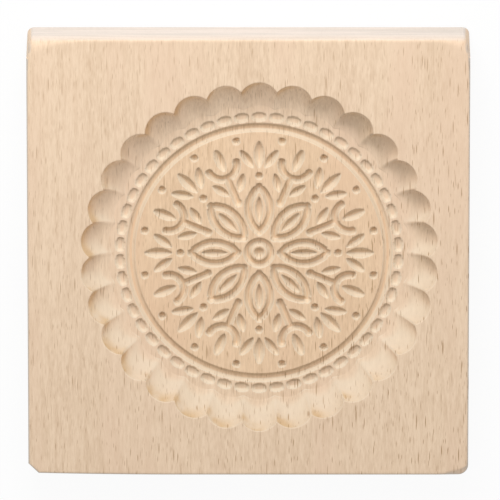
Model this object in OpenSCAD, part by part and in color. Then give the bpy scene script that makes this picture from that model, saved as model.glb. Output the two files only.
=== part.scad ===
// Wooden cookie mold: one beech block with a scalloped recess, a ring of beads and a carved rosette.
// It lies flat with its carved face up. Millimetres, +Z up, the grain runs along Y.
// The origin is the middle of the back face.

/* [Board] */
// Width of the board, across the grain
board_w = 130; // [122:1:220]
// Length of the board, along the grain
board_l = 131.7; // [122:0.1:220]
// Thickness of the board
board_t = 18; // [12:0.5:40]
// Softening of the face and back edges
edge_r = 0.8; // [0.3:0.1:1.6]
// Rounding of the two upper corners, seen from the face
upper_corner_r = 1.7; // [0.5:0.1:6]
// Rounding of the lower right corner
lower_corner_r = 3; // [0.5:0.1:6]
// Flat cut across the lower left corner, measured along each side
corner_cut = 3; // [0.5:0.1:6]

/* [Scalloped recess] */
// How far the carving's centre lies to the right of the board's centre
carving_x = 3.2; // [-6:0.1:6]
// How far the carving's centre lies above the board's centre, along the grain
carving_y = 0.2; // [-6:0.1:6]
// Least wood left between the scallops and the side of the board
rim_margin = 9.1; // [4:0.1:14]
// Depth of the recess floor below the face
recess_depth = 6.2; // [4.5:0.1:9]
// Pitch of the scallops, around the circle of their centres
scallop_pitch = 9.7; // [8:0.1:11]
// Radius of the ball-nosed cutter that makes each scallop
scallop_r = 6.3; // [5:0.1:7.5]
// Lean of a scallop's wall from upright, at the face, in degrees
scallop_lean = 20; // [5:1:30]
// Slope of a scallop's wall where it meets the floor, in degrees
scallop_foot = 8; // [4:1:20]
// From the scallop tips, inward to the edge of the flat floor
wall_run = 8.3; // [7:0.1:12]
// Radius of the hollow at the foot of the wall, all the way round
cove_r = 5.9; // [3:0.1:6]
// Slope of that hollow where it meets the floor, in degrees
foot_slope = 12; // [5:1:40]

/* [Beads and ring] */
// Pitch of the beads, around their ring
bead_pitch = 5.15; // [4.6:0.05:7]
// Length of a bead, around the ring
bead_len = 4.2; // [3:0.1:4.4]
// Width of a bead
bead_w = 2.4; // [2.3:0.1:2.8]
// Depth of a bead
bead_depth = 1.1; // [0.4:0.05:1.15]
// Flat strip of floor outside the beads
bead_margin = 2.15; // [0.5:0.05:3]
// Flat strip between the beads and the ring groove
ring_gap = 0.7; // [0.4:0.1:2]
// Width of the ring groove
ring_w = 2.5; // [2.45:0.05:3]
// Depth of the ring groove
ring_depth = 1.2; // [0.4:0.05:1.2]

/* [Rosette] */
// Number of petals, and of tulips between them
petal_count = 8; // [5:1:8]
// Width of the carved lines
line_w = 2.15; // [2.1:0.05:2.3]
// Depth of the carved lines and of the dots
line_depth = 1.05; // [0.4:0.05:1.05]
// Depth of a leaf along its spine
leaf_depth = 1.1; // [0.4:0.05:1.2]
// Width of the dots
dot_w = 2.2; // [2.1:0.05:2.4]
// Width of the dot in the middle
eye_w = 2.8; // [2.2:0.1:3]
// Radius of the ring around the middle dot
button_r = 3.5; // [2.8:0.1:4]
// From that ring to the inner point of a petal
petal_gap = 2.8; // [2.5:0.1:3.5]
// Width of a petal, between its two lines
petal_w = 6.4; // [4.6:0.1:6.8]
// Width of the vein in a petal
vein_w = 2.2; // [1.2:0.1:2.6]
// Room between a petal's point and its vein, at each end
vein_gap = 2.9; // [2.4:0.1:3.4]
// Flat strip between the leaf tips and the ring groove
field_margin = 2.7; // [1.5:0.1:4]
// Flat strip between the outer dots and the ring groove
dot_margin = 1.2; // [0.6:0.1:2]
// Room between a petal's point and the dot over it
dot_gap = 3.2; // [2.4:0.1:4]
// Length of the long leaf of a fan
leaf_len = 8.4; // [6:0.1:9]
// Width of the long leaf of a fan
leaf_w = 3; // [2:0.1:3.4]
// Length of the side leaves
side_leaf_len = 7; // [5:0.1:7.5]
// Width of the side leaves
side_leaf_w = 2.5; // [1.6:0.1:2.8]
// Turn of the side leaves from the middle of a fan, in degrees
leaf_splay = 36; // [30:1:45]
// From the middle of a fan to the root of a side leaf
leaf_spacing = 1.55; // [1.2:0.05:1.8]
// Length of the bud in a tulip
bud_len = 7.6; // [5:0.1:8.4]
// Width of the bud in a tulip
bud_w = 2.8; // [2:0.1:3.4]
// Radius of a tulip's cup
cup_r = 4.4; // [3.6:0.1:4.8]
// From the bottom of a tulip's cup to its bud
bud_gap = 2; // [1.6:0.1:3]
// Half of the angle that a tulip's cup goes through, in degrees
cup_half_turn = 80; // [60:1:90]
// Length of a tulip's stem
stem_len = 8.2; // [6:0.1:8.6]
// From the foot of the stem to the root of its leaves
stem_leaf_at = 3; // [2:0.1:4]
// Length of the leaves on a stem
stem_leaf_len = 6; // [4:0.1:6.4]
// Width of the leaves on a stem
stem_leaf_w = 2.4; // [1.6:0.1:2.6]
// Flat strip between the stem and the root of its leaves
stem_leaf_gap = 0.4; // [0.2:0.05:0.8]

/* [Hidden] */
$fa = 6;
$fs = 0.35;

// Small overlap that carries a cut past a face
past = 1;
// Steps in a rounded corner, in a softened edge and in the hollow at the foot of the wall
corner_steps = 8;
edge_steps = 4;
cove_steps = 8;
// A scallop's swing goes this far past the face and past its lowest point, in degrees
swing_past = 6;
// Ball ends are this much larger than the groove that they close
end_swell = 0.06;
// The first scallop, bead and petal lie at the top, along the grain
first_turn = 90;

// The recess, from its rim inward and down
floor_z = board_t - recess_depth;
rim_r = min(board_w / 2 - abs(carving_x), board_l / 2 - abs(carving_y)) - rim_margin;
scallop_c = rim_r - scallop_r;
scallop_count = round(2 * PI * scallop_c / scallop_pitch);
swing_r = recess_depth / (cos(scallop_foot) - sin(scallop_lean));
swing_up = swing_r * sin(scallop_lean);
swing_in = swing_r * cos(scallop_lean);
floor_r = rim_r - wall_run;
wall_r = floor_r + cove_r * (1 - sin(foot_slope));

// The rings on the floor, from the outside in
bead_ring_r = floor_r - bead_margin - bead_w / 2;
bead_count = round(2 * PI * bead_ring_r / bead_pitch);
bead_half_turn = asin((bead_len - bead_w) / 2 / bead_ring_r);
ring_r = bead_ring_r - bead_w / 2 - ring_gap - ring_w / 2;
field_r = ring_r - ring_w / 2;

// The fans over the petals, from the outside in
sector = 360 / petal_count;
dot_ring_r = field_r - dot_margin - dot_w / 2;
fan_root = field_r - field_margin - leaf_len;
fan_dot_at = fan_root - dot_margin - dot_w / 2;

// The petals take the room between the middle and the fans
petal_in = button_r + petal_gap;
petal_len = fan_dot_at - dot_gap - petal_in;
petal_mid = petal_in + petal_len / 2;
petal_arc_r = (petal_len * petal_len + petal_w * petal_w) / (4 * petal_w);
petal_spread = petal_arc_r - petal_w / 2;
petal_half_turn = asin(petal_len / 2 / petal_arc_r);
vein_len = petal_len - 2 * vein_gap;

// The tulips between the petals, from the outside in
bud_in = field_r - field_margin - bud_len;
stem_out = bud_in - bud_gap;
stem_in = stem_out - stem_len;
cup_c = stem_out + cup_r;
stem_leaf_shift = line_w / 2 + stem_leaf_gap;

// Radius of the ball-nosed cutter that leaves a groove of this width and depth
function cutter_r(w, d) = (w * w / 4 + d * d) / (2 * d);

// Points along an arc
function arc(centre, r, from, to, steps) =
    [for (i = [0:steps])
        let (a = from + (to - from) * i / steps)
        centre + r * [cos(a), sin(a)]];

// Outline of a rectangle that stands on the X axis, with rounded corners
function soft_rectangle(w, h, r) = concat(
    arc([w / 2 - r, r], r, -90, 0, edge_steps),
    arc([w / 2 - r, h - r], r, 0, 90, edge_steps),
    arc([r - w / 2, h - r], r, 90, 180, edge_steps),
    arc([r - w / 2, r], r, 180, 270, edge_steps));

// Outline of the board seen from its face, with each corner as it was sanded
function board_outline() = concat(
    [[-board_w / 2, corner_cut - board_l / 2], [corner_cut - board_w / 2, -board_l / 2]],
    arc([board_w / 2 - lower_corner_r, lower_corner_r - board_l / 2], lower_corner_r, -90, 0, corner_steps),
    arc([board_w / 2 - upper_corner_r, board_l / 2 - upper_corner_r], upper_corner_r, 0, 90, corner_steps),
    arc([upper_corner_r - board_w / 2, board_l / 2 - upper_corner_r], upper_corner_r, 90, 180, corner_steps));

// Copies around the carving's centre, the first one along the grain
module around(count, shift = 0) {
    for (i = [0:count - 1]) rotate(first_turn + (i + shift) * 360 / count) children();
}

// The squared block before carving
module blank() {
    intersection() {
        translate([0, 0, -past])
            linear_extrude(board_t + 2 * past) polygon(board_outline());
        rotate([90, 0, 0])
            linear_extrude(board_l + 2 * past, center = true)
                polygon(soft_rectangle(board_w, board_t, edge_r));
        rotate([90, 0, 90])
            linear_extrude(board_w + 2 * past, center = true)
                polygon(soft_rectangle(board_l, board_t, edge_r));
    }
}

// One scallop of the rim: a ball-nosed cutter swings in and down from the face
module scallop() {
    translate([rim_r - swing_in, 0, board_t + swing_up])
        rotate([90, 0, 0])
            rotate([0, 0, -90 - swing_past])
                rotate_extrude(angle = 90 - scallop_lean + 2 * swing_past) intersection() {
                    translate([swing_r - scallop_r, 0]) circle(scallop_r);
                    translate([0, -scallop_r]) square([swing_r, 2 * scallop_r]);
                }
}

// The round pocket inside the scallops, with a hollow at the foot of its wall
module pocket() {
    rotate_extrude() polygon(concat(
        [[0, -past], [floor_r, -past]],
        arc([wall_r - cove_r, cove_r * cos(foot_slope)], cove_r, foot_slope - 90, 0, cove_steps),
        [[wall_r, recess_depth + past], [0, recess_depth + past]]));
}

// The whole recess above its flat floor
module recess() {
    intersection() {
        translate([0, 0, floor_z]) cylinder(h = recess_depth + scallop_r + past, r = rim_r + past);
        union() {
            translate([0, 0, floor_z]) pocket();
            around(scallop_count) scallop();
        }
    }
}

// Ball of the cutter that leaves a groove of this width and depth in the floor, out along X
module cutter_ball(at, w, d, swell = 0) {
    r = cutter_r(w, d);
    translate([at, 0, floor_z + r - d]) sphere(r + swell);
}

// Round dimple in the floor, out along X
module dot(at, w = dot_w) {
    cutter_ball(at, w, line_depth);
}

// Groove in the floor along an arc about the origin, with open ends
module arc_path(path_r, from, to, w, d) {
    r = cutter_r(w, d);
    translate([0, 0, floor_z + r - d])
        rotate(from) rotate_extrude(angle = to - from) translate([path_r, 0]) circle(r);
}

// Groove in the floor along an arc about the origin, with ball ends
module arc_groove(path_r, from, to, w, d) {
    arc_path(path_r, from, to, w, d);
    for (a = [from, to]) rotate(a) cutter_ball(path_r, w, d, end_swell);
}

// Groove in the floor all the way round
module ring_groove(path_r, w, d) {
    r = cutter_r(w, d);
    translate([0, 0, floor_z + r - d]) rotate_extrude() translate([path_r, 0]) circle(r);
}

// Straight groove in the floor, outward along X, with ball ends
module line_groove(from, to, w, d) {
    r = cutter_r(w, d);
    translate([from, 0, floor_z + r - d]) rotate([0, 90, 0]) cylinder(h = to - from, r = r);
    for (x = [from, to]) cutter_ball(x, w, d, end_swell);
}

// Pointed leaf cut into the floor along X from its root, deepest along its spine, where two spheres cross
module leaf(root, len, w) {
    outline_r = (len * len + w * w) / (4 * w);
    spread = outline_r - w / 2;
    lift = (len * len / 4 - leaf_depth * leaf_depth) / (2 * leaf_depth);
    ball_r = sqrt(outline_r * outline_r + lift * lift);
    translate([root + len / 2, 0, floor_z + lift]) intersection() {
        translate([0, spread, 0]) sphere(ball_r);
        translate([0, -spread, 0]) sphere(ball_r);
    }
}

// Two leaves that leave the X axis on either side
module leaf_pair(root, shift, len, w) {
    for (side = [-1, 1])
        translate([root, side * shift, 0]) rotate(side * leaf_splay) leaf(0, len, w);
}

// The beads around the floor
module beads() {
    around(bead_count) arc_groove(bead_ring_r, -bead_half_turn, bead_half_turn, bead_w, bead_depth);
}

// One petal along X: a pointed loop of two arcs around a vein
module petal() {
    for (side = [-1, 1])
        translate([petal_mid, -side * petal_spread, 0])
            rotate(side * 90) arc_path(petal_arc_r, -petal_half_turn, petal_half_turn, line_w, line_depth);
    for (tip = [petal_in, petal_in + petal_len]) cutter_ball(tip, line_w, line_depth, end_swell);
    leaf(petal_in + vein_gap, vein_len, vein_w);
}

// A fan of three leaves along X, over the point of a petal, with dots around it
module fan() {
    dot(fan_dot_at);
    leaf(fan_root, leaf_len, leaf_w);
    leaf_pair(fan_root, leaf_spacing, side_leaf_len, side_leaf_w);
    for (side = [-1, 1]) rotate(side * sector / 4) dot(dot_ring_r);
}

// A tulip along X, between two petals: a stem with two leaves, a cup and its bud
module tulip() {
    line_groove(stem_in, stem_out, line_w, line_depth);
    leaf_pair(stem_in + stem_leaf_at, stem_leaf_shift, stem_leaf_len, stem_leaf_w);
    translate([cup_c, 0, 0])
        rotate(180) arc_groove(cup_r, -cup_half_turn, cup_half_turn, line_w, line_depth);
    leaf(bud_in, bud_len, bud_w);
}

// The carved rosette
module rosette() {
    dot(0, eye_w);
    ring_groove(button_r, line_w, line_depth);
    around(petal_count) petal();
    around(petal_count) fan();
    around(petal_count, 0.5) tulip();
}

// The mold: one block of solid beech with everything carved into its face
module mold_block() {
    color("burlywood") difference() {
        blank();
        translate([carving_x, carving_y, 0]) {
            recess();
            beads();
            ring_groove(ring_r, ring_w, ring_depth);
            rosette();
        }
    }
}

mold_block();
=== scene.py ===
"""Wooden cookie mold: a square beech block with a scalloped recess, beads and a carved rosette.

The block lies on its back with the carved face up, the grain along Y. Lengths are in metres.
"""
import functools
import math
from collections import namedtuple

import bmesh
import bpy
import numpy as np
from bpy.props import FloatProperty, FloatVectorProperty, IntProperty, PointerProperty
from mathutils import Matrix, Vector


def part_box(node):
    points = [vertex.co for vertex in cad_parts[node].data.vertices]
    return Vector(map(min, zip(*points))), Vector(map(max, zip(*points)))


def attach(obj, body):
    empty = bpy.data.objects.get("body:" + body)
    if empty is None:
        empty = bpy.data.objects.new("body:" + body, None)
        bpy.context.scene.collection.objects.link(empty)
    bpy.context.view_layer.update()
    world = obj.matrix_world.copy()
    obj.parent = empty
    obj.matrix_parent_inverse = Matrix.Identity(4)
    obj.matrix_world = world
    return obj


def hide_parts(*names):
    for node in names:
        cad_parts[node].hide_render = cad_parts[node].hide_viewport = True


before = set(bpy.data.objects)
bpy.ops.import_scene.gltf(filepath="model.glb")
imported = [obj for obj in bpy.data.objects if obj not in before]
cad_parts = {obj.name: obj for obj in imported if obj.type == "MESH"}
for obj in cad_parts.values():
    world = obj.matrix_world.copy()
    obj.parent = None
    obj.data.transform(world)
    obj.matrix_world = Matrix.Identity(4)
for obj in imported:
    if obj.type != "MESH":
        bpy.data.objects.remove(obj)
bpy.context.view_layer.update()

bl_info = {
    "name": "Wooden cookie mold",
    "version": (1, 0, 0),
    "blender": (4, 5, 0),
    "location": "3D View > Sidebar > Cookie mold",
    "description": "Carves a square beech cookie mold and sets up its studio",
    "category": "Object",
}

NODE = "mold_block"
BODY = "root"
SLOT = "beech"
PIECE = "carved_block"
MM = 0.001
FULL_TURN = 2 * math.pi
# Vertices closer than this are the same one
TOUCH = 1e-6
# Power of the beads' outline: 2 is an oval, and more has blunter ends
OVAL = 2.6
# Power of the beads' bottom: 2 is round, and more is flatter
BEAD_BOTTOM = 3.0
# Power of a leaf's depth, from its edge to its spine: 1 is a plain V, and less is fuller
LEAF_BOTTOM = 0.55
# Power by which the scallops widen towards the floor: a higher one keeps it for the foot of the wall
LOBE_POWER = 3
# Points of the floor closer than this to the edge of a cut are moved onto it
EDGE_REACH = 0.11 * MM
# Sanding is full up to the first distance from an edge, and has ended at the second
RISE = 1.3 * MM
FADE = 6 * MM


def length(name, description, millimetres):
    """A length property, written here in millimetres and kept in metres."""
    return FloatProperty(
        name=name, description=description, default=millimetres * MM, min=0.0, precision=5,
        subtype="DISTANCE", unit="LENGTH")


def turn(name, description, degrees):
    """An angle property, written here in degrees and kept in radians."""
    return FloatProperty(
        name=name, description=description, default=math.radians(degrees),
        subtype="ANGLE", unit="ROTATION")


def share(name, description, value):
    """A property from 0 to 1."""
    return FloatProperty(
        name=name, description=description, default=value, min=0.0, max=1.0, subtype="FACTOR")


def colour(name, description, value):
    """A colour property, in linear light."""
    return FloatVectorProperty(
        name=name, description=description, default=value, size=3, min=0.0, max=1.0,
        subtype="COLOR")


def count(name, description, value):
    """A whole number of like things."""
    return IntProperty(name=name, description=description, default=value, min=1)


class MoldBoard(bpy.types.PropertyGroup):
    """The squared block and its sanded edges"""
    edge: length("Edge", "Softening of the face and back edges", 0.8)
    upper_corner: length("Upper corners", "Rounding of the two upper corners", 2.0)
    lower_corner: length("Lower right corner", "Rounding of the lower right corner", 3.0)
    corner_cut: length("Lower left corner", "Flat cut across the lower left corner", 3.0)
    sanded_face: length("Sanded face", "Face that was sanded away at the two upper corners", 3.8)
    sanded_side: length("Sanded side", "Top side that was sanded away at the two upper corners", 2.0)
    sanded_left: length("Sanded left", "From the upper left corner to where its sanding ends", 19.0)
    sanded_right: length("Sanded right", "From the upper right corner to where its sanding ends", 12.0)
    sanded_low: length("Sanded low", "Lower side that was sanded away at its left end", 0.6)
    low_reach: length("Low reach", "From the left end of the lower side to where its sanding ends", 45.0)
    facet: length("Facet width", "Width of the facet at the lower right corner, on the face", 1.8)
    facet_drop: length("Facet drop", "How far that facet goes down the side", 1.05)
    facet_reach: length("Facet reach", "How far that facet goes along the lower edge", 8.0)


class MoldRecess(bpy.types.PropertyGroup):
    """The scalloped recess, its beads and its ring groove"""
    right: length("Right", "From the board's middle to the carving's, to the right", 3.2)
    up: length("Up", "From the board's middle to the carving's, along the grain", 0.2)
    depth: length("Depth", "Depth of the flat floor under the face", 6.2)
    scallops: count("Scallops", "Number of scallops", 30)
    rim: length("Rim radius", "From the carving's middle to the tips of the scallops", 52.7)
    scallop: length("Scallop radius", "Radius of a scallop at the face", 6.05)
    floor_edge: length("Floor edge", "From the middle to the edge of the floor under a scallop", 44.8)
    floor_lobe: length("Floor lobe", "Radius of the floor's edge under one scallop", 7.2)
    lean: turn("Lean", "Lean of a scallop's wall from upright, at the face", 22.0)
    foot_lean: turn("Foot lean", "Lean of a scallop's wall from upright, at the floor", 79.0)
    step: length("Step", "Height of the small step between the floor and the wall", 0.06)
    arris: length("Arris", "Softening of the ridges between the scallops", 0.1)
    lip: length("Lip", "Softening of the edge between the scallops and the face", 0.2)
    beads: count("Beads", "Number of beads", 50)
    bead_ring: length("Bead ring", "Radius of the ring of beads", 41.05)
    bead_length: length("Bead length", "Length of a bead, around the ring", 4.5)
    bead_width: length("Bead width", "Width of a bead", 2.6)
    bead_depth: length("Bead depth", "Depth of a bead", 1.0)
    ring: length("Ring groove", "Radius of the ring groove", 37.9)
    ring_width: length("Ring width", "Width of the ring groove", 2.5)
    ring_depth: length("Ring depth", "Depth of the ring groove", 1.25)


class MoldRosette(bpy.types.PropertyGroup):
    """The carved rosette: petals, fans of leaves, tulips and dots"""
    petals: count("Petals", "Number of petals, and of tulips between them", 8)
    line: length("Line width", "Width of the carved lines", 2.15)
    depth: length("Depth", "Depth of the carved lines, dots and leaves", 1.6)
    dot: length("Dot width", "Width of the dots", 2.2)
    eye: length("Eye width", "Width of the dot in the middle", 2.8)
    button: length("Button radius", "Radius of the ring around the middle dot", 3.5)
    petal_at: length("Petal foot", "From the middle to the inner point of a petal", 6.3)
    petal_length: length("Petal length", "Length of a petal", 13.75)
    petal_width: length("Petal width", "Width of a petal, between its two lines", 6.4)
    vein_gap: length("Vein gap", "Room between a petal's point and its vein", 2.9)
    vein_width: length("Vein width", "Width of the vein in a petal", 2.2)
    dot_ring: length("Dot ring", "Radius of the ring of outer dots", 34.35)
    fan_dot: length("Fan dot", "From the middle to the dot under a fan", 23.25)
    fan_at: length("Fan foot", "From the middle to the root of a fan", 25.55)
    leaf_length: length("Leaf length", "Length of the long leaf of a fan", 8.4)
    leaf_width: length("Leaf width", "Width of the long leaf of a fan", 3.0)
    side_length: length("Side leaf length", "Length of the side leaves of a fan", 7.0)
    side_width: length("Side leaf width", "Width of the side leaves of a fan", 2.5)
    side_shift: length("Side leaf shift", "From the middle of a fan to the root of a side leaf", 1.55)
    splay: turn("Splay", "Turn of the side leaves from the middle of a fan or stem", 36.0)
    stem_at: length("Stem foot", "From the middle to the foot of a stem", 16.15)
    stem_length: length("Stem length", "Length of a tulip's stem", 8.2)
    stem_leaf_at: length("Stem leaf", "From the foot of a stem to the root of its leaves", 3.0)
    stem_leaf_shift: length("Stem leaf shift", "From a stem's middle to the root of its leaves", 1.475)
    stem_leaf_length: length("Stem leaf length", "Length of the leaves on a stem", 6.0)
    stem_leaf_width: length("Stem leaf width", "Width of the leaves on a stem", 2.4)
    cup: length("Cup radius", "Radius of a tulip's cup", 4.4)
    cup_turn: turn("Cup turn", "Half of the angle that a tulip's cup goes through", 80.0)
    bud_at: length("Bud foot", "From the middle to the root of a bud", 26.35)
    bud_length: length("Bud length", "Length of the bud in a tulip", 7.6)
    bud_width: length("Bud width", "Width of the bud in a tulip", 2.8)


class MoldBeech(bpy.types.PropertyGroup):
    """The look of the bare beech, with the light and shade painted on it"""
    pale: colour("Pale wood", "Pale streaks of the wood", (0.84, 0.645, 0.465))
    dark: colour("Dark wood", "Dark streaks of the wood", (0.69, 0.505, 0.345))
    rosy: colour("Rosy wood", "Broad bands with a rosy tint", (0.80, 0.588, 0.425))
    fleck: colour("Fleck", "Short rays that show as dashes along the grain", (0.36, 0.21, 0.10))
    end_grain: colour("End grain", "Sawn ends of the board", (0.705, 0.62, 0.555))
    # Painted shade on the outer sides turned away from the light, and the real dark rings of the sawn ends
    side_shade_and_ring: colour("Worn edge", "Greyed sides, and the dark rings of the sawn ends", (0.56, 0.505, 0.45))
    # Painted shade: a duller tone on the recess wall where it is lit most
    wall: colour("Carved wall", "Walls of the recess that are turned to the light", (0.62, 0.50, 0.375))
    # Painted highlight: a paler tone on cuts and walls turned to the light
    painted_highlight: colour("Fresh cut", "Cuts and walls that are turned to the light", (0.79, 0.685, 0.53))
    # Painted shade: a darker, warmer floor inside the ring groove, as shade in the recess
    floor_shade: colour("Floor tint", "What the floor keeps of the wood's colour", (1.0, 0.95, 0.88))
    # Painted shade, in patches, on the steep upper wall where it is turned away from the lamp
    steep_wall_shade: colour("Cut tint", "What patches of steep wall keep of the wood's colour", (0.88, 0.78, 0.63))
    # Painted shade on cuts and walls turned away from the light
    painted_shade: colour("Rubbed side", "What cuts and walls in the shade keep of the wood's colour",
                   (0.81, 0.81, 0.79))
    band_width: length("Band width", "Width of the broad bands", 9.0)
    ring_gap: length("Ring gap", "Thickness of the yearly rings on the sawn ends", 1.7)
    fibre_width: length("Fibre width", "Width of the streaks along the grain", 0.8)
    fleck_width: length("Fleck spacing", "Room for one fleck across the grain", 0.46)
    fleck_length: length("Fleck reach", "Room for one fleck along the grain", 5.0)
    ray_depth: length("Ray depth", "How deep one fleck goes into the wood", 4.0)
    roughness: share("Roughness", "Roughness of the sanded surface", 0.62)


class MoldStudio(bpy.types.PropertyGroup):
    """The floor, the light and the camera"""
    tilt: turn("Camera tilt", "Camera's turn from straight above, towards the top of the design", 13.3)
    distance: FloatProperty(
        name="Camera distance", description="From the camera to the carved face", default=2.78,
        min=0.1, subtype="DISTANCE", unit="LENGTH")
    field: length("Field of view", "Width of what the image shows at the carved face", 147.0)
    aim_right: length("Aim right", "How far the image's middle lies right of the board's", 0.5)
    aim_up: length("Aim up", "How far the image's middle lies above the board's", 2.56)
    key: FloatProperty(
        name="Key light", description="Power of the soft lamp above the top side", default=2.2,
        min=0.0, subtype="POWER", unit="POWER")
    key_width: length("Key width", "Width of the soft lamp", 360.0)
    key_at: FloatVectorProperty(
        name="Key place", description="Where the soft lamp hangs, aimed at the origin",
        default=(-0.05, 0.46, 0.365), size=3, subtype="TRANSLATION", unit="LENGTH")
    fill: share("Fill light", "Strength of the even white light from all around", 0.625)
    floor_light: share("Floor white", "How much of the seen floor is plain white, not lit", 0.92)


GROUPS = {
    "mold_board": MoldBoard,
    "mold_recess": MoldRecess,
    "mold_rosette": MoldRosette,
    "mold_beech": MoldBeech,
    "mold_studio": MoldStudio,
}


def soft_max(a, b, softness):
    """The larger of two values, with the crossing rounded off."""
    return (a + b + np.sqrt((a - b) ** 2 + softness ** 2)) / 2


def ease(value, start, end):
    """0 before start, 1 after end, with a smooth step between them."""
    t = np.clip((value - start) / (end - start), 0, 1)
    return t * t * (3 - 2 * t)


def folded(angle, copies, shift=0.0):
    """Angle from the middle of the nearest of some copies around the carving, either way."""
    pitch = FULL_TURN / copies
    return np.abs((angle - shift * pitch + pitch / 2) % pitch - pitch / 2)


def groove(distance, width, depth, power=2):
    """A groove at this distance from its line: how far inside its edge, and how deep.

    Its bottom is round, or flatter with a higher power."""
    inside = width / 2 - distance
    out = np.clip(2 * distance / width, 0, 1)
    return inside, depth * np.sqrt(1 - out ** power)


def leaf(along, across, size, width, depth):
    """A pointed leaf from the origin, out along the first direction, creased along its spine.

    Says how far inside its edge, and how deep."""
    outline = (size ** 2 + width ** 2) / (4 * width)
    inside = outline - np.hypot(along - size / 2, np.abs(across) + outline - width / 2)
    return inside, depth * np.clip(2 * inside / width, 0, 1) ** LEAF_BOTTOM


def turned_leaf(along, across, at, shift, angle, size, width, depth):
    """A leaf whose root lies beside the middle line, and which turns away from it."""
    u, v = along - at, across - shift
    cos, sin = math.cos(angle), math.sin(angle)
    return leaf(u * cos + v * sin, v * cos - u * sin, size, width, depth)


def together(*cuts):
    """Several cuts as one: how far inside the farthest edge, and how deep at the deepest."""
    return tuple(np.maximum.reduce(values) for values in zip(*cuts))


def petal_carving(along, across, ro):
    """A petal and the fan of leaves over it, about their middle line."""
    end = ro.petal_at + ro.petal_length
    middle = (ro.petal_at + end) / 2
    bow = (ro.petal_length ** 2 + ro.petal_width ** 2) / (4 * ro.petal_width)
    beside = np.abs(np.hypot(along - middle, across + bow - ro.petal_width / 2) - bow)
    tip = np.hypot(along - np.where(along < middle, ro.petal_at, end), across)
    line = np.where((along > ro.petal_at) & (along < end), beside, tip)
    vein = ro.petal_length - 2 * ro.vein_gap
    quarter = math.pi / ro.petals / 2
    outer_dot = np.hypot(
        along - ro.dot_ring * math.cos(quarter), across - ro.dot_ring * math.sin(quarter))
    return together(
        groove(line, ro.line, ro.depth),
        leaf(along - ro.petal_at - ro.vein_gap, across, vein, ro.vein_width, ro.depth),
        groove(np.hypot(along - ro.fan_dot, across), ro.dot, ro.depth),
        leaf(along - ro.fan_at, across, ro.leaf_length, ro.leaf_width, ro.depth),
        turned_leaf(along, across, ro.fan_at, ro.side_shift, ro.splay,
                    ro.side_length, ro.side_width, ro.depth),
        groove(outer_dot, ro.dot, ro.depth))


def tulip_carving(along, across, ro):
    """A tulip about its middle line: a stem with two leaves, a cup and its bud."""
    top = ro.stem_at + ro.stem_length
    stem = np.hypot(along - np.clip(along, ro.stem_at, top), across)
    u = along - top - ro.cup
    cup_end = np.hypot(u + ro.cup * math.cos(ro.cup_turn), across - ro.cup * math.sin(ro.cup_turn))
    on_cup = np.arctan2(across, -u) < ro.cup_turn
    cup = np.where(on_cup, np.abs(np.hypot(u, across) - ro.cup), cup_end)
    return together(
        groove(stem, ro.line, ro.depth),
        turned_leaf(along, across, ro.stem_at + ro.stem_leaf_at, ro.stem_leaf_shift, ro.splay,
                    ro.stem_leaf_length, ro.stem_leaf_width, ro.depth),
        groove(cup, ro.line, ro.depth),
        leaf(along - ro.bud_at, across, ro.bud_length, ro.bud_width, ro.depth))


def floor_carving(x, y, re, ro):
    """Everything that is carved into the flat floor: how far inside an edge, and how deep."""
    radius, angle = np.hypot(x, y), np.arctan2(x, y)
    bead_turn = folded(angle, re.beads)
    bead = re.bead_width / 2 * (
        np.abs(2 * (radius - re.bead_ring) / re.bead_width) ** OVAL
        + (2 * bead_turn * re.bead_ring / re.bead_length) ** OVAL) ** (1 / OVAL)
    petal_turn = folded(angle, ro.petals)
    tulip_turn = folded(angle, ro.petals, 0.5)
    return together(
        groove(bead, re.bead_width, re.bead_depth, power=BEAD_BOTTOM),
        groove(np.abs(radius - re.ring), re.ring_width, re.ring_depth),
        groove(radius, ro.eye, ro.depth),
        groove(np.abs(radius - ro.button), ro.line, ro.depth),
        petal_carving(radius * np.cos(petal_turn), radius * np.sin(petal_turn), ro),
        tulip_carving(radius * np.cos(tulip_turn), radius * np.sin(tulip_turn), ro))


def onto_edges(x, y, re, ro):
    """Moves the points that lie next to the edge of a cut onto that edge, so that the edge is crisp."""
    step, least_slope = 0.01 * MM, 0.1
    inside = floor_carving(x, y, re, ro)[0]
    slope_x = (floor_carving(x + step, y, re, ro)[0] - inside) / step
    slope_y = (floor_carving(x, y + step, re, ro)[0] - inside) / step
    steep = np.maximum(slope_x ** 2 + slope_y ** 2, least_slope)
    move = np.where(np.abs(inside) < EDGE_REACH * np.sqrt(steep), inside / steep, 0)
    return x - move * slope_x, y - move * slope_y


def scallop_reach(angle, lean, re):
    """Radius of one scallop's wall, at an angle from its middle, where it leans this far from upright.

    The scallop is widest at its foot."""
    run = (re.rim - re.floor_edge) / (math.cos(re.lean) - math.cos(re.foot_lean))
    peak = re.rim - run * (math.cos(re.lean) - np.cos(lean))
    down = (lean - re.lean) / (re.foot_lean - re.lean)
    lobe = re.scallop + (re.floor_lobe - re.scallop) * down ** LOBE_POWER
    centre = peak - lobe
    return centre * np.cos(angle) + np.sqrt(np.maximum(lobe ** 2 - (centre * np.sin(angle)) ** 2, 0))


def wall_reach(angle, lean, re):
    """Radius of the recess wall: the scallop here or its neighbour, with a softened ridge between."""
    pitch = FULL_TURN / re.scallops
    return soft_max(
        scallop_reach(angle, lean, re), scallop_reach(pitch - angle, lean, re), re.arris)


def wall_depth(lean, re):
    """Depth under the face, where the wall leans this far from upright."""
    share = (np.sin(lean) - math.sin(re.lean)) / (math.sin(re.foot_lean) - math.sin(re.lean))
    return (re.depth - re.step) * share


# Rows of the carved disc, as nominal radii: the flat floor, the strip up to the floor's edge, the wall,
# and the face around it. The wall and what lies outside it are bent into scallops afterwards.
FLOOR_END = 42.8 * MM
WALL_START = 43.6 * MM
WALL_END = 51.0 * MM
DISC_END = 57.0 * MM
# Rows this close together keep the floor's edge crisp
CREASE = 0.12 * MM
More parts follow.
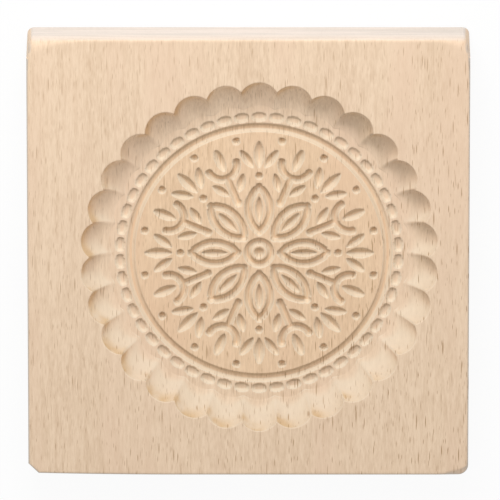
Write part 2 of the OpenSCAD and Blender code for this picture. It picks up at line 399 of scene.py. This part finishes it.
# Each band's rows, and its number of columns around, which doubles or halves from band to band
BANDS = (
    (np.linspace(0.0, 8.7 * MM, 28), 150),
    (np.linspace(9.0 * MM, 17.7 * MM, 28), 300),
    (np.linspace(18.0 * MM, 36.0 * MM, 60), 600),
    (np.linspace(36.3 * MM, 42.5 * MM, 20), 1200),
    (np.concatenate((
        np.linspace(FLOOR_END, WALL_START, 3, endpoint=False),
        (WALL_START - CREASE, WALL_START, WALL_START + CREASE),
        np.linspace(WALL_START, WALL_END, 26, endpoint=False)[1:],
        np.linspace(WALL_END, DISC_END, 6))), 600),
)


def join(bm, part):
    """Adds a finished part to the block's mesh, and frees the part."""
    mesh = bpy.data.meshes.new("part")
    part.to_mesh(mesh)
    part.free()
    bm.from_mesh(mesh)
    bpy.data.meshes.remove(mesh)


def flat_band(centre, radii, columns):
    """A flat ring of faces: a row of vertices, spun once round the carving's middle."""
    part = bmesh.new()
    row = [part.verts.new((centre.x, centre.y + r, centre.z)) for r in radii]
    edges = [part.edges.new(pair) for pair in zip(row, row[1:])]
    bmesh.ops.spin(
        part, geom=row + edges, cent=centre, axis=(0, 0, 1), angle=FULL_TURN, steps=columns,
        use_merge=True)
    middle = [v for v in part.verts if (v.co - centre).length < TOUCH]
    bmesh.ops.remove_doubles(part, verts=middle, dist=TOUCH)
    return part


def open_loops(bm, centre):
    """The open circles of the bands around the carving, from the inside out."""
    loops = {}
    for edge in bm.edges:
        if edge.is_boundary:
            radius = (edge.verts[0].co - centre).length
            loops.setdefault(round(radius / TOUCH), []).append(edge)
    return [loops[key] for key in sorted(loops)]


def flat_disc(bm, centre):
    """The disc that is carved, band by band, with the bands joined."""
    for radii, columns in BANDS:
        join(bm, flat_band(centre, radii, columns))
    loops = open_loops(bm, centre)
    for inner, outer in zip(loops[0::2], loops[1::2]):
        bmesh.ops.bridge_loops(bm, edges=inner + outer)


def squared_block(low, high, board):
    """The block with rounded or cut corners and softened edges, open at its face."""
    edge_rows, upper_rows, lower_rows, top_cuts = 5, 8, 10, 60
    large_face, strip, long_edge, top_zone = 20 * MM, 0.5 * MM, 100 * MM, 2 * MM
    bm = bmesh.new()
    cube = bmesh.ops.create_cube(bm, size=1.0)["verts"]
    bmesh.ops.scale(bm, vec=high - low, verts=cube)
    bmesh.ops.translate(bm, vec=(high + low) / 2, verts=cube)
    corners = (
        (low.x, low.y, board.corner_cut, 1),
        (high.x, low.y, board.lower_corner, lower_rows),
        (low.x, high.y, board.upper_corner, upper_rows),
        (high.x, high.y, board.upper_corner, upper_rows),
    )
    bevel = functools.partial(bmesh.ops.bevel, bm, profile=0.5, affect="EDGES", material=-1)
    for x, y, size, rows in corners:
        at = Vector((x, y))
        upright = [e for e in bm.edges if all((v.co.xy - at).length < TOUCH for v in e.verts)]
        bevel(geom=upright, offset=size, segments=rows)
    flat = [e for e in bm.edges if abs(e.verts[0].co.z - e.verts[1].co.z) < TOUCH]
    bevel(geom=flat, offset=board.edge, segments=edge_rows)
    # A narrow strip inside each large face keeps the shading of the softened edges off it
    big = [f for f in bm.faces if f.calc_area() > large_face ** 2]
    bmesh.ops.inset_individual(bm, faces=big, thickness=strip, use_even_offset=True)
    # The long upper edges get the vertices that their sanding moves
    upper = [e for e in bm.edges
             if e.calc_length() > long_edge and min(v.co.z for v in e.verts) > high.z - top_zone]
    bmesh.ops.subdivide_edges(bm, edges=upper, cuts=top_cuts)
    face = max(bm.faces, key=lambda f: f.calc_center_median().z + f.calc_area())
    bmesh.ops.delete(bm, geom=[face], context="FACES_ONLY")
    return bm


def by_edge(distance):
    """1 at an edge, and 0 where its sanding has ended."""
    return 1 - ease(distance, RISE, FADE)


def sand_edges(co, high, board):
    """Widens the softened top edge towards the two upper corners, and trims the lower edge's left end."""
    back, down = high.y - co[:, 1], high.z - co[:, 2]
    reach = np.where(co[:, 0] < 0, board.sanded_left, board.sanded_right)
    near = np.clip(1 - (high.x - np.abs(co[:, 0])) / reach, 0, 1) ** 2
    slant_start, slant_end = 2 * MM, 2 * FADE
    beside = 1 - ease(back, slant_start, slant_end)
    co[:, 1] -= board.sanded_face * near * np.clip(back / board.edge, 0, 1) * by_edge(back) * by_edge(down)
    co[:, 2] -= board.sanded_side * near * np.clip(down / board.edge, 0, 1) * by_edge(down) * beside
    low_near = np.clip(1 - (high.x + co[:, 0]) / board.low_reach, 0, 1) ** 2
    front = ease(back, 2 * high.y - FADE, 2 * high.y - RISE)
    co[:, 1] += board.sanded_low * low_near * front * by_edge(down)


def cut_facet(co, high, board):
    """Flattens the softened edge at the lower right corner into a facet between the face and the side."""
    down = high.z - co[:, 2]
    corner = board.lower_corner
    out_x = np.maximum(co[:, 0] - high.x + corner, 0)
    out_y = np.maximum(-co[:, 1] - high.y + corner, 0)
    out = np.maximum(np.hypot(out_x, out_y), TOUCH)
    inset = corner - out
    # The facet thins out along the lower edge, and ends soon after the corner on the right side
    side_start, side_end = 0.3 * corner, 1.2 * corner
    here = (1 - ease(high.x - co[:, 0], corner, board.facet_reach)) * (
        1 - ease(high.y + co[:, 1], side_start, side_end)) * (inset < 2 * board.edge) * by_edge(down)
    inner, outer = np.clip(inset / board.edge, 0, 1), np.clip(down / board.edge, 0, 1)
    across = (inner + 1 - outer) / 2
    inward = here * (board.facet * across - board.edge * inner) / out
    co[:, 0] -= inward * out_x
    co[:, 1] += inward * out_y
    co[:, 2] -= here * (board.facet_drop * (1 - across) - board.edge * outer)


def carve(co, centre, re, ro):
    """Moves the disc's vertices into the recess: its floor, wall and rim, and the floor's carving."""
    dx, dy = co[:, 0] - centre.x, co[:, 1] - centre.y
    row = np.hypot(dx, dy)
    disc = (row < DISC_END + TOUCH) & (np.abs(co[:, 2] - centre.z) < TOUCH)
    row, dx, dy = row[disc], dx[disc], dy[disc]
    angle = np.arctan2(dx, dy)
    from_scallop = folded(angle, re.scallops)

    edge = wall_reach(from_scallop, re.foot_lean, re)
    to_edge = np.clip((row - FLOOR_END) / (WALL_START - FLOOR_END), 0, 1)
    up = np.clip((row - WALL_START) / (WALL_END - WALL_START), 0, 1)
    out = np.clip((row - WALL_END) / (DISC_END - WALL_END), 0, 1)
    # A power over 1 brings the rows closer together near the rim, where the wall's edge is rounded
    crowding = 1.5
    lean = re.lean + (re.foot_lean - re.lean) * (1 - up) ** crowding
    depth = np.where(row > WALL_START - TOUCH, wall_depth(lean, re), re.depth)
    lip = np.maximum(re.lip - depth, 0)
    wall = wall_reach(from_scallop, lean, re) + re.lip - np.sqrt(np.maximum(re.lip ** 2 - lip ** 2, 0))
    face = wall + (DISC_END - wall) * out ** 2
    radius = np.where(up > 0, np.where(out > 0, face, wall), row + (edge - row) * to_edge)
    stretch = radius / np.maximum(row, TOUCH)
    dx, dy = dx * stretch, dy * stretch

    floor = row < FLOOR_END - TOUCH
    dx[floor], dy[floor] = onto_edges(dx[floor], dy[floor], re, ro)
    depth[floor] = re.depth + floor_carving(dx[floor], dy[floor], re, ro)[1]
    co[disc, 0] = centre.x + dx
    co[disc, 1] = centre.y + dy
    co[disc, 2] = centre.z - depth


def put(tree, socket, value):
    """Links a socket to another one, or sets its value."""
    if isinstance(value, bpy.types.NodeSocket):
        tree.links.new(value, socket)
    else:
        socket.default_value = value


def add(tree, kind, inputs, **settings):
    """A shader node with its settings and its inputs, named or numbered."""
    made = tree.nodes.new(kind)
    for name, value in settings.items():
        setattr(made, name, value)
    for name, value in inputs.items():
        put(tree, made.inputs[name], value)
    return made


def calc(tree, operation, *values, clamp=False):
    """A math node."""
    made = add(tree, "ShaderNodeMath", dict(enumerate(values)), operation=operation, use_clamp=clamp)
    return made.outputs[0]


def absolute(tree, value):
    """A value without its sign."""
    return calc(tree, "ABSOLUTE", value)


def times(tree, *values):
    """Several values multiplied."""
    return functools.reduce(functools.partial(calc, tree, "MULTIPLY"), values)


def scaled(tree, place, size, moved=(0.0, 0.0, 0.0)):
    """Coordinates in which the pattern repeats about once in each of these lengths."""
    return add(tree, "ShaderNodeMapping", {
        "Vector": place, "Location": moved, "Scale": tuple(1 / s for s in size)}).outputs["Vector"]


def noise(tree, place, detail=2.0, roughness=0.5):
    """Soft noise around 0.5."""
    return add(tree, "ShaderNodeTexNoise", {
        "Vector": place, "Scale": 1.0, "Detail": detail, "Roughness": roughness}).outputs["Fac"]


def spread(tree, value, low, high, to_low=0.0, to_high=1.0):
    """A value moved from one range to another, and held there."""
    return add(tree, "ShaderNodeMapRange", {
        "Value": value, "From Min": low, "From Max": high, "To Min": to_low, "To Max": to_high},
        interpolation_type="SMOOTHSTEP").outputs["Result"]


def mixed(tree, amount, base, other, blend="MIX"):
    """Two colours mixed by an amount."""
    made = add(tree, "ShaderNodeMix", {0: amount}, data_type="RGBA", blend_type=blend)
    put(tree, made.inputs[6], base)
    put(tree, made.inputs[7], other)
    return made.outputs[2]


def opaque(rgb):
    """A colour with its alpha."""
    return (*rgb, 1.0)


# Where a point of the surface lies, and the three parts of the direction that it faces
Spot = namedtuple("Spot", "place x y z facing_x facing_y facing_z")
# From none to full, in parts of that direction. The light comes from +Y, so a high Y is lit.
END_ON = (0.5, 0.9)
ON_SIDE = (0.95, 0.65)
SIDE_UNLIT = (0.45, 0.1)
SLOPING = (0.995, 0.9)
STEEP = (0.8, 0.45)
CUT_LIT = (-0.6, 0.25)
CUT_SHADED = (-0.1, -0.55)
WALL_LIT = (-0.15, 0.3)
WALL_FULLY_LIT = (0.2, 0.7)
WALL_SHADED = (0.15, -0.4)
TURNED_RIGHT = (-0.45, 0.25)
TURNED_ASIDE = (0.8, 0.97)


def surface(tree):
    """The spot of the surface that a shader colours."""
    at = add(tree, "ShaderNodeTexCoord", {})
    seat = add(tree, "ShaderNodeSeparateXYZ", {"Vector": at.outputs["Object"]})
    facing = add(tree, "ShaderNodeSeparateXYZ", {"Vector": at.outputs["Normal"]})
    return Spot(at.outputs["Object"], *seat.outputs, *facing.outputs)


def flecks(tree, place, across, along, deep):
    """Short dashes along the grain: a mask that is full in the middle of a strong dash."""
    cells = add(tree, "ShaderNodeTexVoronoi", {
        "Vector": scaled(tree, place, (across, along, deep)), "Scale": 1.0, "Randomness": 1.0})
    chance = add(tree, "ShaderNodeSeparateColor", {"Color": cells.outputs["Color"]})
    least_reach, more_reach = 0.12, 0.18
    reach = calc(tree, "MULTIPLY_ADD", chance.outputs[0], more_reach, least_reach)
    outward = calc(tree, "DIVIDE", cells.outputs["Distance"], reach)
    soft_rim = 0.6
    dash = spread(tree, calc(tree, "SUBTRACT", 1.0, outward, clamp=True), 0.0, soft_rim)
    least_strength, more_strength = 0.3, 0.7
    strength = calc(tree, "MULTIPLY_ADD", chance.outputs[1], more_strength, least_strength)
    return times(tree, dash, strength)


def outer_sides(tree, spot, high):
    """A mask that is 1 on the block's outer sides and 0 inside them."""
    start, full = 4 * MM, 3 * MM
    across = spread(tree, absolute(tree, spot.x), high.x - start, high.x - full)
    along = spread(tree, absolute(tree, spot.y), high.y - start, high.y - full)
    return calc(tree, "MAXIMUM", across, along)


def sawn_ends(tree, spot, high):
    """A mask that is 1 on the block's two sawn ends."""
    start, full = 2 * MM, 0.8 * MM
    at_end = spread(tree, absolute(tree, spot.y), high.y - start, high.y - full)
    return times(tree, at_end, spread(tree, absolute(tree, spot.facing_y), *END_ON))


def streaks(tree, place, width, slender, detail):
    """Noise that is drawn out along the grain, from -0.5 to 0.5."""
    deep, noise_middle = 3, 0.5
    drawn_out = scaled(tree, place, (width, width * slender, width * deep))
    return calc(tree, "SUBTRACT", noise(tree, drawn_out, detail, roughness=0.6), noise_middle)


def grain(tree, spot, look):
    """The colour of the plain wood, and its streaks alone."""
    broad = streaks(tree, spot.place, look.band_width, slender=8, detail=2.0)
    fibre = streaks(tree, spot.place, look.fibre_width, slender=9, detail=3.0)
    finer = 2.5
    fine = streaks(tree, spot.place, look.fibre_width / finer, slender=8, detail=2.0)
    mean, fine_share, fibre_share, band_share = 0.4, 1.7, 2.0, 0.9
    tone = calc(tree, "MULTIPLY_ADD", fine, fine_share, mean)
    tone = calc(tree, "MULTIPLY_ADD", fibre, fibre_share, tone)
    tone = calc(tree, "MULTIPLY_ADD", broad, band_share, tone, clamp=True)
    wood = mixed(tree, tone, opaque(look.pale), opaque(look.dark))
    rosy_room, rosy_shift = (0.013, 0.07, 0.013), (0.02, 0.01, 0.0)
    rosy_range, rosy_most = (0.4, 0.7), 0.55
    rosy = noise(tree, scaled(tree, spot.place, rosy_room, moved=rosy_shift))
    wood = mixed(tree, spread(tree, rosy, *rosy_range, 0.0, rosy_most), wood, opaque(look.rosy))
    return wood, fibre


def shaded_sides_and_end_rings(tree, spot, wood, around, sawn, look, high):
    """The wood with painted shade on the sides turned from the light, and yearly rings on its sawn ends."""
    side_most, ring_range, ring_most, ring_reach = 0.75, (0.35, 0.65), 0.65, 16
    # Painted shade: outer sides that face away from the light are greyed
    upright = spread(tree, absolute(tree, spot.facing_z), *ON_SIDE, 0.0, side_most)
    unlit = spread(tree, spot.facing_y, *SIDE_UNLIT)
    wood = mixed(tree, times(tree, around, upright, unlit), wood, opaque(look.side_shade_and_ring))
    room = (look.ring_gap * ring_reach, look.ring_gap * ring_reach, look.ring_gap)
    rings = noise(tree, scaled(tree, spot.place, room), detail=3.0)
    dark_ring = spread(tree, rings, *ring_range, 0.0, ring_most)
    end_grain = mixed(tree, dark_ring, opaque(look.end_grain), opaque(look.side_shade_and_ring))
    # Near the face, the ends still have much of the plain wood's colour
    full_down, least, most = 8 * MM, 0.6, 0.95
    low = spread(tree, spot.z, high.z, high.z - full_down, least, most)
    return mixed(tree, times(tree, sawn, low), wood, end_grain)


def carving_light_and_shade(tree, spot, wood, indoors, look, recess, high):
    """The wood with light and shade painted on the carving: its floor, its cuts and its wall."""
    floor_z = high.z - recess.depth
    from_middle = add(tree, "ShaderNodeVectorMath", {
        0: spot.place, 1: (recess.right, recess.up, floor_z)}, operation="DISTANCE").outputs["Value"]
    # Painted shade: the floor inside the ring groove is darker and warmer, as shade in the recess
    in_ring = spread(tree, from_middle, recess.ring + recess.ring_width, recess.ring)
    wood = mixed(tree, in_ring, wood, opaque(look.floor_shade), blend="MULTIPLY")

    # Slopes are either in the cuts of the floor or on the scalloped wall
    cut_start = 0.08 * MM
    level = absolute(tree, spot.facing_z)
    slope = times(tree, indoors, spread(tree, level, *SLOPING))
    in_cut = times(tree, slope, spread(tree, spot.z, floor_z + cut_start, floor_z))
    on_wall = calc(tree, "SUBTRACT", slope, in_cut)

    # Painted light: paler on cuts and walls turned to the light, and duller where the wall is lit most
    for where, lit, most, tint in (
            (in_cut, CUT_LIT, 0.65, look.painted_highlight),
            (on_wall, WALL_LIT, 0.5, look.painted_highlight),
            (on_wall, WALL_FULLY_LIT, 0.4, look.wall)):
        amount = times(tree, where, spread(tree, spot.facing_y, *lit, 0.0, most))
        wood = mixed(tree, amount, wood, opaque(tint))

    # Painted shade on cuts turned away from the light, and on the wall at the right where it turns away
    right_start, right_full, wall_most = 5 * MM, 30 * MM, 0.85
    painted_shade = times(tree, in_cut, spread(tree, spot.facing_y, *CUT_SHADED))
    at_right = spread(tree, spot.x, recess.right + right_start, recess.right + right_full)
    shaded = times(tree, on_wall, at_right, spread(tree, spot.facing_y, *WALL_SHADED, 0.0, wall_most))
    wood = mixed(
        tree, calc(tree, "MAXIMUM", painted_shade, shaded), wood, opaque(look.painted_shade), blend="MULTIPLY")

    # Painted shade darkens the steep upper wall in patches, mostly where it turns right, away from the lamp
    patch_room, patch_range = (7 * MM, 7 * MM, 7 * MM), (0.36, 0.54)
    patches = noise(tree, scaled(tree, spot.place, patch_room), detail=3.0)
    patchy = spread(tree, patches, *patch_range)
    upper_start, upper_full = 4.5 * MM, 2.5 * MM
    upper = spread(tree, spot.z, high.z - upper_start, high.z - upper_full)
    turned_right = spread(tree, spot.facing_x, *TURNED_RIGHT)
    patchy_wall_shade = times(tree, spread(tree, level, *STEEP), upper, turned_right, patchy, indoors)
    return mixed(tree, patchy_wall_shade, wood, opaque(look.steep_wall_shade), blend="MULTIPLY")


def ray_flecks(tree, spot, sawn, look, high):
    """A mask of dashes in two sizes: weaker on the outer sides, and stronger towards the lower right."""
    wider, longer, shift = 1.5, 2.0, (0.013, 0.007, 0.005)
    shifted = scaled(tree, spot.place, (1.0, 1.0, 1.0), moved=shift)
    dashes = calc(
        tree, "MAXIMUM",
        flecks(tree, spot.place, look.fleck_width, look.fleck_length, look.ray_depth),
        flecks(tree, shifted, look.fleck_width * wider, look.fleck_length * longer, look.ray_depth))
    on_ends, on_sides, upper_left, lower_right = 0.3, 0.35, 0.65, 1.25
    ends = spread(tree, sawn, 0.0, 1.0, 1.0, on_ends)
    aside = spread(tree, absolute(tree, spot.facing_x), *TURNED_ASIDE, 1.0, on_sides)
    reach = 1.6 * high.x
    to_corner = spread(
        tree, calc(tree, "SUBTRACT", spot.x, spot.y), -reach, reach, upper_left, lower_right)
    return times(tree, dashes, ends, aside, to_corner)


def beech(look, recess, high):
    """Bare sanded beech, cut from one plank: bands, fibres and flecks run through the whole block."""
    material = bpy.data.materials.new(SLOT)
    material.use_nodes = True
    tree = material.node_tree
    shader = tree.nodes["Principled BSDF"]
    spot = surface(tree)
    around, sawn = outer_sides(tree, spot, high), sawn_ends(tree, spot, high)
    indoors = calc(tree, "SUBTRACT", 1.0, around)
    wood, fibre = grain(tree, spot, look)
    # Painted shade on the outer sides and real rings on the sawn ends, then painted light and shade on the
    # carving
    wood = shaded_sides_and_end_rings(tree, spot, wood, around, sawn, look, high)
    wood = carving_light_and_shade(tree, spot, wood, indoors, look, recess, high)
    dashes = ray_flecks(tree, spot, sawn, look, high)
    fleck_most, gloss_change, fleck_relief = 0.88, 0.16, -0.6
    wood = mixed(tree, calc(tree, "MULTIPLY", dashes, fleck_most, clamp=True), wood, opaque(look.fleck))
    put(tree, shader.inputs["Base Color"], wood)
    put(tree, shader.inputs["Roughness"], calc(tree, "MULTIPLY_ADD", fibre, gloss_change, look.roughness))
    shader.inputs["Specular IOR Level"].default_value = 0.3
    relief = calc(tree, "MULTIPLY_ADD", dashes, fleck_relief, fibre)
    put(tree, shader.inputs["Normal"], add(tree, "ShaderNodeBump", {
        "Strength": 0.3, "Distance": 0.08 * MM, "Height": relief}).outputs["Normal"])
    return material


class MOLD_OT_carve_block(bpy.types.Operator):
    """Carve the mold from one block of beech"""
    bl_idname = "mold.carve_block"
    bl_label = "Carve the block"

    def execute(self, context):
        scene = context.scene
        low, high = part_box(NODE)
        centre = Vector((scene.mold_recess.right, scene.mold_recess.up, high.z))
        bm = bmesh.new()
        flat_disc(bm, centre)
        join(bm, squared_block(low, high, scene.mold_board))
        openings = [e for e in bm.edges if e.is_boundary]
        bmesh.ops.triangle_fill(bm, use_beauty=True, edges=openings, normal=(0, 0, 1))
        bmesh.ops.recalc_face_normals(bm, faces=bm.faces)
        if any(len(e.link_faces) != 2 for e in bm.edges):
            raise RuntimeError("the block isn't closed")
        mesh = bpy.data.meshes.new(PIECE)
        bm.to_mesh(mesh)
        bm.free()

        co = np.empty(len(mesh.vertices) * 3, np.float32)
        mesh.vertices.foreach_get("co", co)
        co = co.reshape(-1, 3).astype(float)
        carve(co, centre, scene.mold_recess, scene.mold_rosette)
        sand_edges(co, high, scene.mold_board)
        cut_facet(co, high, scene.mold_board)
        mesh.vertices.foreach_set("co", co.astype(np.float32).ravel())
        mesh.shade_smooth()
        mesh.update()
        mesh.materials.append(beech(scene.mold_beech, scene.mold_recess, high))
        piece = bpy.data.objects.new(PIECE, mesh)
        scene.collection.objects.link(piece)
        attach(piece, BODY)
        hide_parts(NODE)
        return {"FINISHED"}


def seen_white(tree):
    """1 for what the camera sees, also mirrored or through glass, and 0 for the light on the mold."""
    ray = add(tree, "ShaderNodeLightPath", {})
    seen = calc(tree, "ADD", ray.outputs["Is Camera Ray"], ray.outputs["Is Glossy Ray"], clamp=True)
    return calc(tree, "ADD", seen, ray.outputs["Is Transmission Ray"], clamp=True)


def make_floor(scene, studio):
    """A plain white floor that keeps the mold's shadow, just under the mold's back."""
    half_width, gap = 4.0, 0.1 * MM
    material = bpy.data.materials.new("floor")
    material.use_nodes = True
    tree = material.node_tree
    tree.nodes.clear()
    lit = add(tree, "ShaderNodeBsdfDiffuse", {"Color": (0.9, 0.9, 0.9, 1.0)})
    plain = add(tree, "ShaderNodeEmission", {"Color": (1.0, 1.0, 1.0, 1.0), "Strength": 1.0})
    both = add(tree, "ShaderNodeMixShader", {
        0: calc(tree, "MULTIPLY", seen_white(tree), studio.floor_light),
        1: lit.outputs[0], 2: plain.outputs[0]})
    add(tree, "ShaderNodeOutputMaterial", {"Surface": both.outputs[0]})
    bm = bmesh.new()
    bmesh.ops.create_grid(bm, x_segments=2, y_segments=2, size=half_width)
    bmesh.ops.translate(bm, vec=(0, 0, -gap), verts=bm.verts)
    mesh = bpy.data.meshes.new("floor")
    bm.to_mesh(mesh)
    bm.free()
    mesh.materials.append(material)
    floor = bpy.data.objects.new("floor", mesh)
    scene.collection.objects.link(floor)


def make_light(scene, studio):
    """An even white surround, and one soft lamp above the mold's top side."""
    world = bpy.data.worlds.new("studio")
    world.use_nodes = True
    tree = world.node_tree
    background = tree.nodes["Background"]
    background.inputs["Color"].default_value = (1.0, 1.0, 1.0, 1.0)
    put(tree, background.inputs["Strength"], spread(tree, seen_white(tree), 0.0, 1.0, studio.fill, 1.0))
    scene.world = world
    lamp = bpy.data.lights.new("key", "AREA")
    lamp.shape = "DISK"
    lamp.size = studio.key_width
    lamp.energy = studio.key
    key = bpy.data.objects.new("key", lamp)
    key.location = studio.key_at
    key.rotation_euler = (-key.location).to_track_quat("-Z", "Y").to_euler()
    scene.collection.objects.link(key)


def make_camera(scene, studio, face_z):
    """A long lens above the mold, a little towards its top side, with the top of the design up."""
    camera = bpy.data.cameras.new("camera")
    camera.sensor_width = 36.0
    camera.lens = camera.sensor_width * studio.distance / studio.field
    camera.clip_start, camera.clip_end = 0.05, 20.0
    sin, cos = math.sin(studio.tilt), math.cos(studio.tilt)
    back = Vector((0.0, sin, cos))
    place = Vector((studio.aim_right, studio.aim_up, face_z)) + back * studio.distance
    holder = bpy.data.objects.new("camera", camera)
    holder.matrix_world = Matrix((
        (1.0, 0.0, 0.0, place.x),
        (0.0, cos, sin, place.y),
        (0.0, -sin, cos, place.z),
        (0.0, 0.0, 0.0, 1.0)))
    scene.collection.objects.link(holder)
    scene.camera = holder


class MOLD_OT_set_stage(bpy.types.Operator):
    """Set up the floor, the light and the camera"""
    bl_idname = "mold.set_stage"
    bl_label = "Set the stage"

    def execute(self, context):
        scene = context.scene
        studio = scene.mold_studio
        make_floor(scene, studio)
        make_light(scene, studio)
        make_camera(scene, studio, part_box(NODE)[1].z)
        scene.view_settings.view_transform = "Standard"
        return {"FINISHED"}


class MOLD_PT_sidebar(bpy.types.Panel):
    """The mold's steps and sizes"""
    bl_idname = "MOLD_PT_sidebar"
    bl_label = "Cookie mold"
    bl_space_type = "VIEW_3D"
    bl_region_type = "UI"
    bl_category = "Cookie mold"

    def draw(self, context):
        layout = self.layout
        for operator in (MOLD_OT_carve_block, MOLD_OT_set_stage):
            layout.operator(operator.bl_idname)
        for name, group in GROUPS.items():
            box = layout.box()
            box.label(text=group.__doc__)
            for size in group.__annotations__:
                box.prop(getattr(context.scene, name), size)


CLASSES = (*GROUPS.values(), MOLD_OT_carve_block, MOLD_OT_set_stage, MOLD_PT_sidebar)


def register():
    for cls in CLASSES:
        bpy.utils.register_class(cls)
    for name, group in GROUPS.items():
        setattr(bpy.types.Scene, name, PointerProperty(type=group))


def unregister():
    for name in GROUPS:
        delattr(bpy.types.Scene, name)
    for cls in reversed(CLASSES):
        bpy.utils.unregister_class(cls)


def main():
    register()
    bpy.ops.mold.set_stage()
    bpy.ops.mold.carve_block()


if __name__ == "__main__":
    main()
